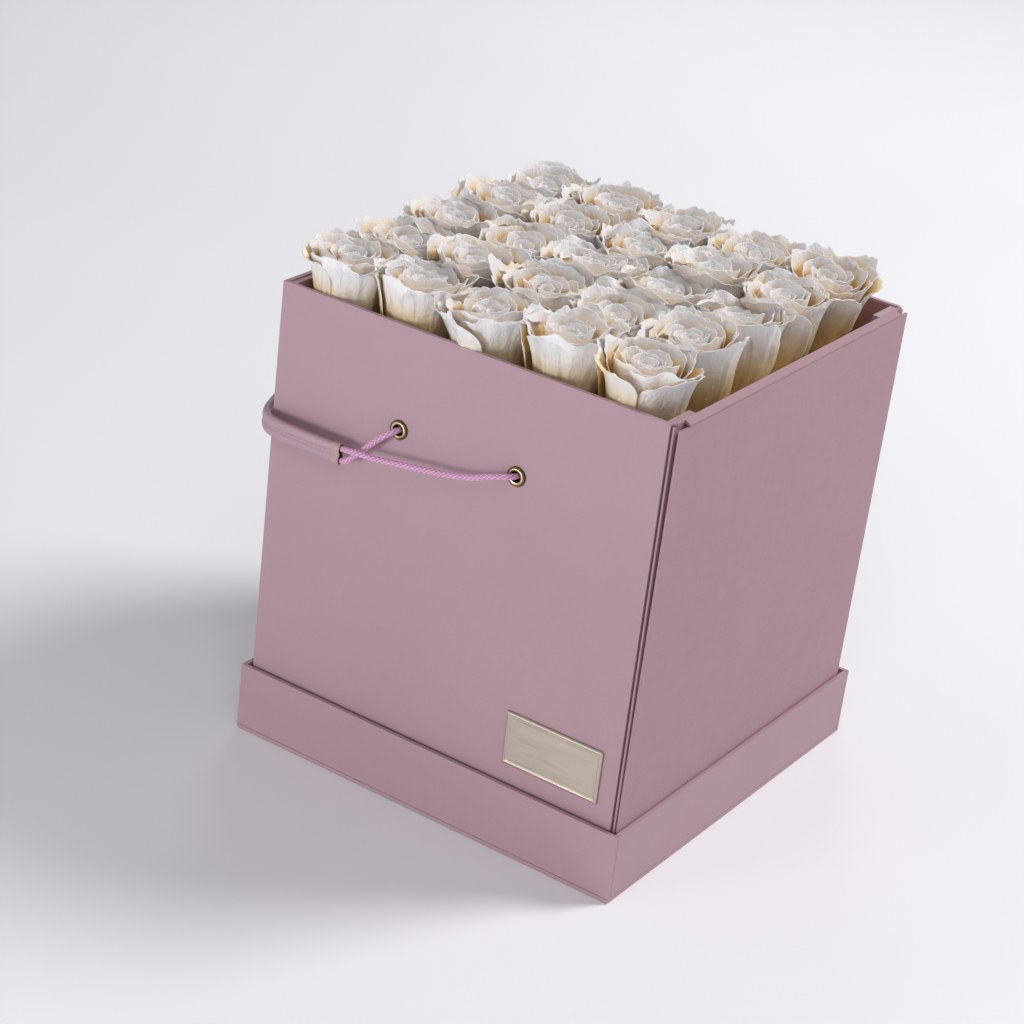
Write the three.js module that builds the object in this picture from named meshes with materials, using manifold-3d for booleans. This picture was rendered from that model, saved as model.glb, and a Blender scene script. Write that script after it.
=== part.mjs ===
// A square flower box of wrapped board, full of roses, standing loose in a shallow tray.
// A soft leather-cloth handle lies round its left side and hangs on cords from four eyelets.
// Millimetres, +Z up. The front faces -Y, and the origin is the middle of the tray's underside.

import * as THREE from "three";
import { mergeVertices } from "three/addons/utils/BufferGeometryUtils.js";
import Module from "manifold-3d";

const wasm = await Module();
wasm.setup();

// ---- Sizes -------------------------------------------------------------------------------

const GAP = 0.3; // between pieces that are glued to, or rest on, each other

// Box: the front and back walls are as wide as the box, the other walls meet them.
const BOX_WIDTH = 250;
const BOX_DEPTH = 250;
const WALL_HEIGHT = 279.3;
const WALL_BOARD = 2.6;
const BASE_BOARD = 2.6;

// Right side: a thin wall outside the front wall's end, and the lid hung down over it.
const CORNER_FOLD = 1.3; // open fold between the front wall's end and the right wall
const RIGHT_BOARD = 1.1;
const RIGHT_SETBACK = 0.4; // of its two ends behind the front and back faces
const RIGHT_BELOW_TOP = 1.3;
const LID_BOARD = 1.4;
const LID_SETBACK = 1.2;
const LID_ABOVE_BASE = 3;
const LID_BELOW_TOP = 2.5;
const LID_SPREAD = 1.7; // its top edge stands this much further out than its bottom edge
const SPINE_SETBACK = 3;
const SPINE_WRAP = 1.2; // thickness of the cloth spine that joins the wall to the lid
const SPINE_CREST = 0.9; // height of its crest above the front wall
const SPINE_NOTCH = 7; // length cut back at each end, where the lid's top edge shows
const SPINE_STEP = 1; // of its underside, from the wall's edge out to where it meets the lid

// Ears: short return flaps that brace the corners, thicker at the side that takes the lid.
const EAR_LENGTH = 22;
const EAR_BOARD = 5.4;
const LEFT_EAR_BOARD = 3.2;
const EAR_BELOW_TOP = 0.8;

// Tray, with its gaps round the box.
const TRAY_BOARD = 2.4;
const TRAY_HEIGHT = 42.2;
const LEFT_GAP = 2.6;
const RIGHT_GAP = 0.6;
const FRONT_GAP = 2;
const BACK_GAP = 6;

// Eyelets, two in the front wall and two in the back wall, with a knot behind each.
const EYELET_SPACING = 77.6;
const EYELET_BELOW_TOP = 59.5;
const EYELET_BORE_R = 3.1;
const EYELET_BARREL_R = 3.6;
const EYELET_FLANGE_R = 5.7;
const EYELET_BACK_R = 5;
const EYELET_FLANGE = 1.1;
const EYELET_ROLL = 0.9;
const KNOT_R = 4.6;

// Nameplate, bare, low on the right of the front wall.
const PLATE_WIDTH = 62.4;
const PLATE_HEIGHT = 32.4;
const PLATE_THICKNESS = 1.4;
const PLATE_BEVEL = 0.8;
const PLATE_FROM_RIGHT = 10.4;
const PLATE_ABOVE_BASE = 51.5;

// Cords and handle.
const CORD_R = 1.7;
const CORD_STEP = 4.8; // between sections of a cord's solid
const SLEEVE_WIDTH = 12;
const SLEEVE_THICKNESS = 5;
const SLEEVE_DROP = 22.7; // of its middle line below the eyelets
const SLEEVE_END = 69.5; // of its two ends from the middle of the box, along the wall
const SLEEVE_STANDOFF = 9; // of its middle line from the front and back walls
const GRIP_LENGTH = 130; // of the middle stretch that the hand holds

// Roses, in rows. Each is a head on a short stem.
const ROSE_R = 23.5;
const ROSE_HEIGHT = 56;
const ROSE_GAP = 0.7; // between the widest parts of two neighbours
const MOST_IN_A_ROW = 5;
const ROSES_ABOVE_WALL = 25; // the tallest
const ROSES_LEFT_OF_MIDDLE = 2.4;
const ROSES_AHEAD_OF_MIDDLE = 4.5;
const ROSE_STEP = 1.2; // steps of height between neighbours
const STEM_R = 2.2;
const STEM_LENGTH = 40;

// What the roses stand in.
const FOAM_THICKNESS = 72;
const FOAM_MARGIN = 12.5; // from the front and back walls, which leaves room for the knots
const STEM_CLEARANCE = 0.6;
const PLATFORM_BOARD = 2.4;
const PLATFORM_CLEARANCE = 0.8;
const RISER_BOARD = 2;
const RISER_INSET = 16;

// ---- Levels and places that follow from the sizes ------------------------------------------

const HALF_WIDTH = BOX_WIDTH / 2;
const HALF_DEPTH = BOX_DEPTH / 2;
const ROSE_SPACING = 2 * ROSE_R + ROSE_GAP;
const INNER_HALF_DEPTH = HALF_DEPTH - WALL_BOARD - GAP;
const INNER_LEFT = -HALF_WIDTH + WALL_BOARD + GAP;
const RIGHT_WALL_X = HALF_WIDTH + CORNER_FOLD; // inner face of the right wall
const INNER_RIGHT = RIGHT_WALL_X - GAP;
const LID_X = RIGHT_WALL_X + RIGHT_BOARD + GAP; // inner face of the lid, at its bottom edge
const EYELET_Z = WALL_HEIGHT - EYELET_BELOW_TOP;

// Places in the box are counted from the middle of its underside, and the box stands here.
const TRAY_LEFT = -HALF_WIDTH - LEFT_GAP;
const TRAY_RIGHT = LID_X + LID_BOARD + RIGHT_GAP;
const TRAY_FRONT = -HALF_DEPTH - FRONT_GAP;
const TRAY_BACK = HALF_DEPTH + BACK_GAP;
const BOX_X = -(TRAY_LEFT + TRAY_RIGHT) / 2;
const BOX_Y = -(TRAY_FRONT + TRAY_BACK) / 2;
const BOX_Z = TRAY_BOARD + GAP;

// ---- Materials -----------------------------------------------------------------------------

const leatherCloth = new THREE.MeshStandardMaterial({ color: 0xb5929c, roughness: 0.5, metalness: 0 });
const linedCloth = new THREE.MeshStandardMaterial({ color: 0xa88a92, roughness: 0.6, metalness: 0 });
const handleCloth = new THREE.MeshStandardMaterial({ color: 0xb4929f, roughness: 0.55, metalness: 0 });
const brass = new THREE.MeshStandardMaterial({ color: 0x9a8458, roughness: 0.35, metalness: 1 });
const plateMetal = new THREE.MeshStandardMaterial({ color: 0xc9b79a, roughness: 0.4, metalness: 1 });
const braid = new THREE.MeshStandardMaterial({ color: 0xd6a0d2, roughness: 0.7, metalness: 0 });
const petal = new THREE.MeshStandardMaterial({ color: 0xefe8dc, roughness: 0.65, metalness: 0 });
const greyBoard = new THREE.MeshStandardMaterial({ color: 0x9b958c, roughness: 0.9, metalness: 0 });
const foamMaterial = new THREE.MeshStandardMaterial({ color: 0xe9e6df, roughness: 0.95, metalness: 0 });

// ---- Helpers -------------------------------------------------------------------------------

function place(group, name, geometry, material, x = 0, y = 0, z = 0) {
  const mesh = new THREE.Mesh(geometry, material);
  mesh.name = name;
  mesh.position.set(x, y, z);
  group.add(mesh);
  return mesh;
}

// A flat board between two corners, each [x, y, z].
function boardGeometry(low, high) {
  const size = high.map((value, axis) => value - low[axis]);
  const geometry = new THREE.BoxGeometry(...size);
  return geometry.translate(...low.map((value, axis) => value + size[axis] / 2));
}

function board(group, name, material, low, high) {
  return place(group, name, boardGeometry(low, high), material);
}

// A closed geometry as a solid, and back.
function solid(geometry) {
  const bare = geometry.clone();
  bare.deleteAttribute("normal");
  bare.deleteAttribute("uv");
  const merged = mergeVertices(bare, 1e-4);
  return new wasm.Manifold(
    new wasm.Mesh({
      numProp: 3,
      vertProperties: merged.attributes.position.array,
      triVerts: new Uint32Array(merged.index.array),
    }),
  );
}

function geometryOf(manifold) {
  const mesh = manifold.getMesh();
  const geometry = new THREE.BufferGeometry();
  geometry.setAttribute("position", new THREE.BufferAttribute(mesh.vertProperties, 3));
  geometry.setIndex(new THREE.BufferAttribute(mesh.triVerts, 1));
  geometry.computeVertexNormals();
  return geometry;
}

function cut(geometry, cutters) {
  return geometryOf(cutters.reduce((body, cutter) => body.subtract(solid(cutter)), solid(geometry)));
}

// A solid of revolution about the local Y axis. The profile is a list of [radius, height].
function turned(profile, sides) {
  return new THREE.LatheGeometry(
    profile.map(([radius, height]) => new THREE.Vector2(radius, height)),
    sides,
  );
}

// A section swept along a curve.
function swept(section, curve, steps, curveSegments) {
  return new THREE.ExtrudeGeometry(section, { extrudePath: curve, steps, curveSegments, bevelEnabled: false });
}

function smoothCurve(points) {
  const vectors = points.map(([x, y, z]) => new THREE.Vector3(x, y, z));
  return new THREE.CatmullRomCurve3(vectors, false, "centripetal");
}

// The stretch of a curve between two distances from its start.
class Stretch extends THREE.Curve {
  constructor(whole, from, to) {
    super();
    this.whole = whole;
    this.from = from / whole.getLength();
    this.to = to / whole.getLength();
  }

  getPoint(t, target = new THREE.Vector3()) {
    return this.whole.getPointAt(THREE.MathUtils.lerp(this.from, this.to, t), target);
  }
}

// ---- Tray ----------------------------------------------------------------------------------

function makeTray() {
  const tray = new THREE.Group();
  const innerX = (TRAY_RIGHT - TRAY_LEFT) / 2;
  const innerY = (TRAY_BACK - TRAY_FRONT) / 2;
  const outerX = innerX + TRAY_BOARD;
  const outerY = innerY + TRAY_BOARD;
  const low = TRAY_BOARD + GAP;
  const sideY = innerY - GAP;
  board(tray, "tray_floor", leatherCloth, [-outerX, -outerY, 0], [outerX, outerY, TRAY_BOARD]);
  board(tray, "tray_rim_front", leatherCloth, [-outerX, -outerY, low], [outerX, -innerY, TRAY_HEIGHT]);
  board(tray, "tray_rim_back", leatherCloth, [-outerX, innerY, low], [outerX, outerY, TRAY_HEIGHT]);
  board(tray, "tray_rim_left", leatherCloth, [-outerX, -sideY, low], [-innerX, sideY, TRAY_HEIGHT]);
  board(tray, "tray_rim_right", leatherCloth, [innerX, -sideY, low], [outerX, sideY, TRAY_HEIGHT]);
  return tray;
}

// ---- Box walls -----------------------------------------------------------------------------

// The front wall, or the back wall turned half round: its outer face looks to -Y.
function eyeletWallGeometry() {
  const wall = boardGeometry(
    [-HALF_WIDTH, -HALF_DEPTH, 0],
    [HALF_WIDTH, -HALF_DEPTH + WALL_BOARD, WALL_HEIGHT],
  );
  const holes = [-1, 1].map((side) =>
    new THREE.CylinderGeometry(EYELET_BARREL_R + GAP, EYELET_BARREL_R + GAP, 3 * WALL_BOARD, 24).translate(
      (side * EYELET_SPACING) / 2,
      -HALF_DEPTH + WALL_BOARD / 2,
      EYELET_Z,
    ),
  );
  return cut(wall, holes);
}

function addWalls(box) {
  const front = -INNER_HALF_DEPTH;
  const back = INNER_HALF_DEPTH;
  board(box, "box_base", greyBoard, [INNER_LEFT, front, 0], [INNER_RIGHT, back, BASE_BOARD]);
  place(box, "wall_front", eyeletWallGeometry(), leatherCloth);
  place(box, "wall_back", eyeletWallGeometry(), leatherCloth).rotation.z = Math.PI;
  board(box, "wall_left", leatherCloth, [-HALF_WIDTH, front, 0], [INNER_LEFT - GAP, back, WALL_HEIGHT]);
  const end = HALF_DEPTH - RIGHT_SETBACK;
  board(
    box,
    "wall_right",
    linedCloth,
    [RIGHT_WALL_X, -end, 0],
    [RIGHT_WALL_X + RIGHT_BOARD, end, WALL_HEIGHT - RIGHT_BELOW_TOP],
  );
}

// The lid hangs outside the right wall, leaning out a little towards its hinged top edge.
function addLid(box) {
  const height = WALL_HEIGHT - LID_BELOW_TOP - LID_ABOVE_BASE;
  const lid = board(
    box,
    "lid_panel",
    linedCloth,
    [0, -HALF_DEPTH + LID_SETBACK, 0],
    [LID_BOARD, HALF_DEPTH - LID_SETBACK, height],
  );
  lid.position.set(LID_X, 0, LID_ABOVE_BASE);
  lid.rotation.y = Math.atan2(LID_SPREAD, height);
}

// The cloth spine over the two top edges: a crest above the wall, then a slope down to the lid.
function addSpine(box) {
  const wallTop = WALL_HEIGHT - RIGHT_BELOW_TOP + GAP;
  const lidTop = WALL_HEIGHT - LID_BELOW_TOP + GAP;
  const wallEdge = RIGHT_WALL_X + RIGHT_BOARD + GAP;
  const lidEdge = LID_X + LID_SPREAD + LID_BOARD;
  const section = new THREE.Shape([
    new THREE.Vector2(RIGHT_WALL_X, wallTop),
    new THREE.Vector2(wallEdge, wallTop),
    new THREE.Vector2(wallEdge + SPINE_STEP, lidTop),
    new THREE.Vector2(lidEdge, lidTop),
    new THREE.Vector2(lidEdge, lidTop + SPINE_WRAP),
    new THREE.Vector2(RIGHT_WALL_X + RIGHT_BOARD / 2, WALL_HEIGHT + SPINE_CREST),
    new THREE.Vector2(RIGHT_WALL_X, wallTop + SPINE_WRAP),
  ]);
  const length = BOX_DEPTH - 2 * SPINE_SETBACK;
  const geometry = new THREE.ExtrudeGeometry(section, { depth: length, bevelEnabled: false });
  geometry.rotateX(Math.PI / 2).translate(0, length / 2, 0);
  const notches = [-1, 1].map((side) =>
    new THREE.BoxGeometry(2 * LID_BOARD + 2 * LID_SPREAD, 2 * SPINE_NOTCH, 2 * WALL_HEIGHT).translate(
      wallEdge - GAP + LID_BOARD + LID_SPREAD,
      (side * length) / 2,
      WALL_HEIGHT,
    ),
  );
  place(box, "lid_spine", cut(geometry, notches), linedCloth);
}

function addEars(box) {
  for (const [end, ySide] of [["front", -1], ["back", 1]]) {
    const nearWall = ySide * INNER_HALF_DEPTH;
    const farEnd = ySide * (INNER_HALF_DEPTH - EAR_LENGTH);
    const low = Math.min(nearWall, farEnd);
    const high = Math.max(nearWall, farEnd);
    const bottom = BASE_BOARD + GAP;
    const top = WALL_HEIGHT - EAR_BELOW_TOP;
    const left = INNER_LEFT + LEFT_EAR_BOARD;
    const right = INNER_RIGHT - EAR_BOARD;
    board(box, `ear_left_${end}`, leatherCloth, [INNER_LEFT, low, bottom], [left, high, top]);
    board(box, `ear_right_${end}`, leatherCloth, [right, low, bottom], [INNER_RIGHT, high, top]);
  }
}

// ---- Eyelets, knots and nameplate ----------------------------------------------------------

// Heights run from the outer face of the wall, inwards.
function eyeletGeometry() {
  const inside = WALL_BOARD + GAP;
  const face = -GAP - EYELET_FLANGE;
  const back = inside + EYELET_ROLL;
  const lip = 0.5;
  return turned(
    [
      [EYELET_BORE_R, face + lip],
      [EYELET_BARREL_R + GAP, face],
      [EYELET_FLANGE_R - lip, face + 0.1],
      [EYELET_FLANGE_R, face + lip],
      [EYELET_FLANGE_R, -GAP],
      [EYELET_BARREL_R, -GAP],
      [EYELET_BARREL_R, inside],
      [EYELET_BACK_R, inside],
      [EYELET_BACK_R, back - lip],
      [EYELET_BARREL_R + GAP, back],
      [EYELET_BORE_R, back - lip],
      [EYELET_BORE_R, face + lip],
    ],
    16,
  );
}

function addEyelets(box) {
  const knotY = -HALF_DEPTH + WALL_BOARD + EYELET_ROLL + 2 * GAP + KNOT_R;
  for (const [wall, turn] of [["front", 0], ["back", Math.PI]]) {
    const group = new THREE.Group();
    group.rotation.z = turn;
    box.add(group);
    for (const side of [-1, 1]) {
      const x = (side * EYELET_SPACING) / 2;
      const where = `${wall}_${Math.sign(side * Math.cos(turn)) < 0 ? "left" : "right"}`;
      place(group, `eyelet_${where}`, eyeletGeometry(), brass, x, -HALF_DEPTH, EYELET_Z);
      place(group, `knot_${where}`, new THREE.SphereGeometry(KNOT_R, 10, 8), braid, x, knotY, EYELET_Z);
    }
  }
}

function addNameplate(box) {
  const flat = new THREE.Shape([
    new THREE.Vector2(-PLATE_WIDTH / 2 + PLATE_BEVEL, -PLATE_HEIGHT / 2 + PLATE_BEVEL),
    new THREE.Vector2(PLATE_WIDTH / 2 - PLATE_BEVEL, -PLATE_HEIGHT / 2 + PLATE_BEVEL),
    new THREE.Vector2(PLATE_WIDTH / 2 - PLATE_BEVEL, PLATE_HEIGHT / 2 - PLATE_BEVEL),
    new THREE.Vector2(-PLATE_WIDTH / 2 + PLATE_BEVEL, PLATE_HEIGHT / 2 - PLATE_BEVEL),
  ]);
  const geometry = new THREE.ExtrudeGeometry(flat, {
    depth: PLATE_THICKNESS - PLATE_BEVEL,
    bevelSize: PLATE_BEVEL,
    bevelThickness: PLATE_BEVEL / 2,
    bevelSegments: 1,
  });
  geometry.translate(0, 0, PLATE_BEVEL / 2).rotateX(Math.PI / 2);
  place(
    box,
    "nameplate",
    geometry,
    plateMetal,
    HALF_WIDTH - PLATE_FROM_RIGHT - PLATE_WIDTH / 2,
    -HALF_DEPTH - GAP,
    PLATE_ABOVE_BASE + PLATE_HEIGHT / 2,
  );
}

// ---- Roses and what holds them -------------------------------------------------------------

const HEAD_TOP = WALL_HEIGHT + ROSES_ABOVE_WALL;
const HEAD_BASE = HEAD_TOP - ROSE_HEIGHT;
const LOWEST_HEAD = HEAD_BASE - 2 * ROSE_STEP;
const FOAM_TOP = LOWEST_HEAD - 2;
const FOAM_BOTTOM = FOAM_TOP - FOAM_THICKNESS;
const PLATFORM_TOP = FOAM_BOTTOM - GAP;

// The middle of each rose, and how far it sits below the tallest ones.
function rosePlaces() {
  const across = Math.min(MOST_IN_A_ROW, Math.floor((INNER_RIGHT - INNER_LEFT) / ROSE_SPACING));
  const deep = Math.min(MOST_IN_A_ROW, Math.floor((2 * INNER_HALF_DEPTH) / ROSE_SPACING));
  const places = [];
  for (let row = 0; row < deep; row++) {
    for (let column = 0; column < across; column++) {
      places.push({
        name: `rose_${row + 1}_${column + 1}`,
        x: (column - (across - 1) / 2) * ROSE_SPACING - ROSES_LEFT_OF_MIDDLE,
        y: (row - (deep - 1) / 2) * ROSE_SPACING - ROSES_AHEAD_OF_MIDDLE,
        lower: ((2 * row + column) % 3) * ROSE_STEP,
      });
    }
  }
  return places;
}

// A cup that opens from the stem to a wide rim, and dips a little at the crown.
function roseGeometry() {
  const rim = ROSE_HEIGHT - 4;
  return turned(
    [
      [0, -STEM_LENGTH],
      [STEM_R, -STEM_LENGTH],
      [STEM_R, 0],
      [0.36 * ROSE_R, 2],
      [0.68 * ROSE_R, 12],
      [0.88 * ROSE_R, 30],
      [ROSE_R, rim],
      [ROSE_R - 3, ROSE_HEIGHT],
      [0.4 * ROSE_R, ROSE_HEIGHT - 1.5],
      [0, ROSE_HEIGHT - 3],
    ],
    14,
  ).rotateX(Math.PI / 2);
}

function addRoses(box, places) {
  for (const { name, x, y, lower } of places) {
    place(box, name, roseGeometry(), petal, x, y, HEAD_BASE - lower);
  }
}

function addFoam(box, places) {
  const left = INNER_LEFT + LEFT_EAR_BOARD + PLATFORM_CLEARANCE;
  const right = INNER_RIGHT - EAR_BOARD - PLATFORM_CLEARANCE;
  const front = -INNER_HALF_DEPTH + FOAM_MARGIN;
  const back = INNER_HALF_DEPTH - FOAM_MARGIN;
  const block = boardGeometry([left, front, FOAM_BOTTOM], [right, back, FOAM_TOP]);
  const holeR = STEM_R + STEM_CLEARANCE;
  const stemHoles = places.map(({ x, y, lower }) => {
    const bottom = HEAD_BASE - lower - STEM_LENGTH - GAP;
    const depth = FOAM_TOP + 1 - bottom;
    return new THREE.CylinderGeometry(holeR, holeR, depth, 10)
      .rotateX(Math.PI / 2)
      .translate(x, y, bottom + depth / 2);
  });
  place(box, "foam_block", cut(block, stemHoles), foamMaterial);

  const reach = INNER_HALF_DEPTH - PLATFORM_CLEARANCE;
  const under = PLATFORM_TOP - PLATFORM_BOARD;
  board(box, "platform", greyBoard, [left, -reach, under], [right, reach, PLATFORM_TOP]);
  addRiser(box, left, right, reach, under - GAP);
}

// A square sleeve of board that carries the platform.
function addRiser(box, left, right, reach, top) {
  const bottom = BASE_BOARD + GAP;
  const outer = boardGeometry(
    [left + RISER_INSET, -reach + RISER_INSET, bottom],
    [right - RISER_INSET, reach - RISER_INSET, top],
  );
  const hollowInset = RISER_INSET + RISER_BOARD;
  const hollow = boardGeometry(
    [left + hollowInset, -reach + hollowInset, bottom - 1],
    [right - hollowInset, reach - hollowInset, top + 1],
  );
  place(box, "riser", cut(outer, [hollow]), greyBoard);
}

// ---- Handle --------------------------------------------------------------------------------

// The sleeve's middle line, seen from above: along the front wall, round the front left corner
// and out along the left wall, then the same to the back. Steps are from the corner, outwards.
function sleeveLine() {
  const z = EYELET_Z - SLEEVE_DROP;
  const frontHalf = [
    [-SLEEVE_END, -HALF_DEPTH - SLEEVE_STANDOFF, z],
    ...[
      [42, -9.6],
      [28, -9.9],
      [14, -9.3],
      [5.5, -7.7],
      [-0.6, -4.4],
      [-4.9, 0.6],
      [-8, 7],
      [-11, 14.5],
      [-14.8, 25],
      [-19.6, 41],
      [-24.2, 60],
      [-27.8, 88],
    ].map(([x, y]) => [-HALF_WIDTH + x, -HALF_DEPTH + y, z]),
  ];
  const middle = [-HALF_WIDTH - 29.2, 0, z];
  const backHalf = frontHalf.map(([x, y]) => [x, -y, z]).reverse();
  return smoothCurve([...frontHalf, middle, ...backHalf]);
}

// A flat tube, round at both edges, as wide as the two cord channels side by side.
function sleeveSection() {
  const r = SLEEVE_THICKNESS / 2;
  const half = SLEEVE_WIDTH / 2 - r;
  const section = new THREE.Shape();
  section.absarc(half, 0, r, -Math.PI / 2, Math.PI / 2);
  section.absarc(-half, 0, r, Math.PI / 2, (3 * Math.PI) / 2);
  section.closePath();
  return section;
}

function addSleeve(handle) {
  const line = sleeveLine();
  const length = line.getLength();
  const gripStart = (length - GRIP_LENGTH) / 2;
  const gripEnd = (length + GRIP_LENGTH) / 2;
  const stretches = [
    ["sleeve_front", 0, gripStart - GAP / 2, 26],
    ["sleeve_grip", gripStart + GAP / 2, gripEnd - GAP / 2, 14],
    ["sleeve_back", gripEnd + GAP / 2, length, 26],
  ];
  for (const [name, from, to, steps] of stretches) {
    place(handle, name, swept(sleeveSection(), new Stretch(line, from, to), steps, 3), handleCloth);
  }
}

// Cord routes at the front wall, from the sleeve's end to the knot behind the eyelet.
// Counted from the middle of the box, the wall's outer face and the eyelets' height.
const LEFT_CORD_ROUTE = [
  [-69, -9, -26.3],
  [-67.2, -8.9, -26],
  [-65.1, -8.4, -24.8],
  [-62.4, -7.7, -22.3],
  [-59.4, -7, -19.3],
  [-56.2, -6.6, -15.9],
  [-52.5, -6.4, -12],
  [-49, -6.3, -8.5],
  [-45.6, -6, -5.3],
  [-42.7, -4.9, -2.8],
  [-40.4, -3, -1.1],
  [-39.2, -0.9, -0.3],
  [-38.8, 1.2, 0],
  [-38.5, 3.3, 0.2],
];
const RIGHT_CORD_ROUTE = [
  [-69, -9, -19.1],
  [-66.6, -9.2, -18.9],
  [-61.6, -10.5, -17.8],
  [-55.5, -11.7, -16.7],
  [-48, -12, -15.9],
  [-41.5, -11.8, -15.3],
  [-26, -11, -13.2],
  [-10.2, -10, -11.2],
  [4.8, -9, -8.9],
  [16.5, -8.1, -6.1],
  [24.5, -7.3, -3.1],
  [30.4, -6.5, -1.1],
  [34.2, -5.2, -0.2],
  [36.9, -3.1, 0],
  [38.3, -0.9, 0],
  [38.8, 1.2, 0],
  [39.2, 3.3, 0],
];
function cordGeometry(route) {
  const section = new THREE.Shape();
  section.absarc(0, 0, CORD_R, 0, 2 * Math.PI);
  const line = smoothCurve(route);
  return swept(section, line, Math.round(line.getLength() / CORD_STEP), 4);
}

// The back cords are the front ones mirrored.
function addCords(handle) {
  const routes = [
    ["left", LEFT_CORD_ROUTE],
    ["right", RIGHT_CORD_ROUTE],
  ];
  for (const [side, route] of routes) {
    const mirrored = route.map(([x, y, z]) => [x, -y, z]);
    place(handle, `cord_front_${side}`, cordGeometry(route), braid, 0, -HALF_DEPTH, EYELET_Z);
    place(handle, `cord_back_${side}`, cordGeometry(mirrored), braid, 0, HALF_DEPTH, EYELET_Z);
  }
}

// ---- Assembly ------------------------------------------------------------------------------

function makeBox() {
  const box = new THREE.Group();
  const places = rosePlaces();
  addWalls(box);
  addLid(box);
  addSpine(box);
  addEars(box);
  addEyelets(box);
  addNameplate(box);
  addRoses(box, places);
  addFoam(box, places);
  return box;
}

function makeHandle() {
  const handle = new THREE.Group();
  addSleeve(handle);
  addCords(handle);
  return handle;
}

const flowerBox = new THREE.Group();
const standing = new THREE.Group();
standing.position.set(BOX_X, BOX_Y, BOX_Z);
standing.add(makeBox(), makeHandle());
flowerBox.add(makeTray(), standing);

export default flowerBox;
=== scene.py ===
"""A square flower box of wrapped board, full of preserved roses, standing in its shallow tray.

Metres, +Z up, the front faces -Y.
"""

import math
import random

import bpy
import numpy as np
from mathutils import Matrix, Vector, noise


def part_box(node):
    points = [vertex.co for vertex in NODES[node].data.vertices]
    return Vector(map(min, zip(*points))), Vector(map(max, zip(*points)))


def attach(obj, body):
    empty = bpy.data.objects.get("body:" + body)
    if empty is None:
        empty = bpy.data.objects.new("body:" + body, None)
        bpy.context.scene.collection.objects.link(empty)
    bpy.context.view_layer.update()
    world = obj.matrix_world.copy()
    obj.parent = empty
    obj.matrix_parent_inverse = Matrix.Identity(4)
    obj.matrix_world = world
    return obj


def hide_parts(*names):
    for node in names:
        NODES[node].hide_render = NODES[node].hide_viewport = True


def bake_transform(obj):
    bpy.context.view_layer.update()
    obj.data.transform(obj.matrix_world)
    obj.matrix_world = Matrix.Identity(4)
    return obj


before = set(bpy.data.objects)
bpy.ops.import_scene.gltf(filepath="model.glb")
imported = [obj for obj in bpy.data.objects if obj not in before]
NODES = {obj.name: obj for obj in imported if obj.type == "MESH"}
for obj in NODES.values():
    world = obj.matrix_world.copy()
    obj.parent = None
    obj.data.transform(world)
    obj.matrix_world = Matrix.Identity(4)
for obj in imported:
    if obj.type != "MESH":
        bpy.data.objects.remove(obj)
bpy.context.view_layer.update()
MM = 0.001


# ---- Camera, floor and lights ----------------------------------------------------------------

CAMERA_AIM = Vector((-0.0329, -0.0140, 0.1381))
CAMERA_DISTANCE = 1.559
CAMERA_AZIMUTH = math.radians(31.93)
CAMERA_ELEVATION = math.radians(25.48)
CAMERA_ROLL = math.radians(-7.04)
CAMERA_LENS = 94.0
CAMERA_SENSOR = 36


def add_camera():
    """The photograph's own view, rolled a little to the left."""
    forward = Vector((
        -math.sin(CAMERA_AZIMUTH) * math.cos(CAMERA_ELEVATION),
        math.cos(CAMERA_AZIMUTH) * math.cos(CAMERA_ELEVATION),
        -math.sin(CAMERA_ELEVATION),
    ))
    level = Vector((math.cos(CAMERA_AZIMUTH), math.sin(CAMERA_AZIMUTH), 0))
    right = Matrix.Rotation(CAMERA_ROLL, 3, forward) @ level
    up = right.cross(forward)
    place = Matrix((right, up, -forward)).transposed().to_4x4()
    place.translation = CAMERA_AIM - forward * CAMERA_DISTANCE
    data = bpy.data.cameras.new("camera")
    data.lens = CAMERA_LENS
    data.sensor_width = CAMERA_SENSOR
    data.clip_end = 20
    camera = bpy.data.objects.new("camera", data)
    camera.matrix_world = place
    bpy.context.scene.collection.objects.link(camera)
    bpy.context.scene.camera = camera


def add_area_light(name, place, aim, size, power, colour=(1, 1, 1)):
    """A round soft lamp, with its size in metres and its power in watts."""
    data = bpy.data.lights.new(name, "AREA")
    data.shape = "DISK"
    data.size = size
    data.energy = power
    data.color = colour
    light = bpy.data.objects.new(name, data)
    light.location = place
    light.rotation_euler = (Vector(aim) - Vector(place)).to_track_quat("-Z", "Y").to_euler()
    bpy.context.scene.collection.objects.link(light)


# ---- Materials -------------------------------------------------------------------------------


def linear(red, green, blue):
    """A colour given as sRGB bytes, as Blender's linear values."""
    parts = [value / 255 for value in (red, green, blue)]
    return tuple(p / 12.92 if p <= 0.04045 else ((p + 0.055) / 1.055) ** 2.4 for p in parts)


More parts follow.
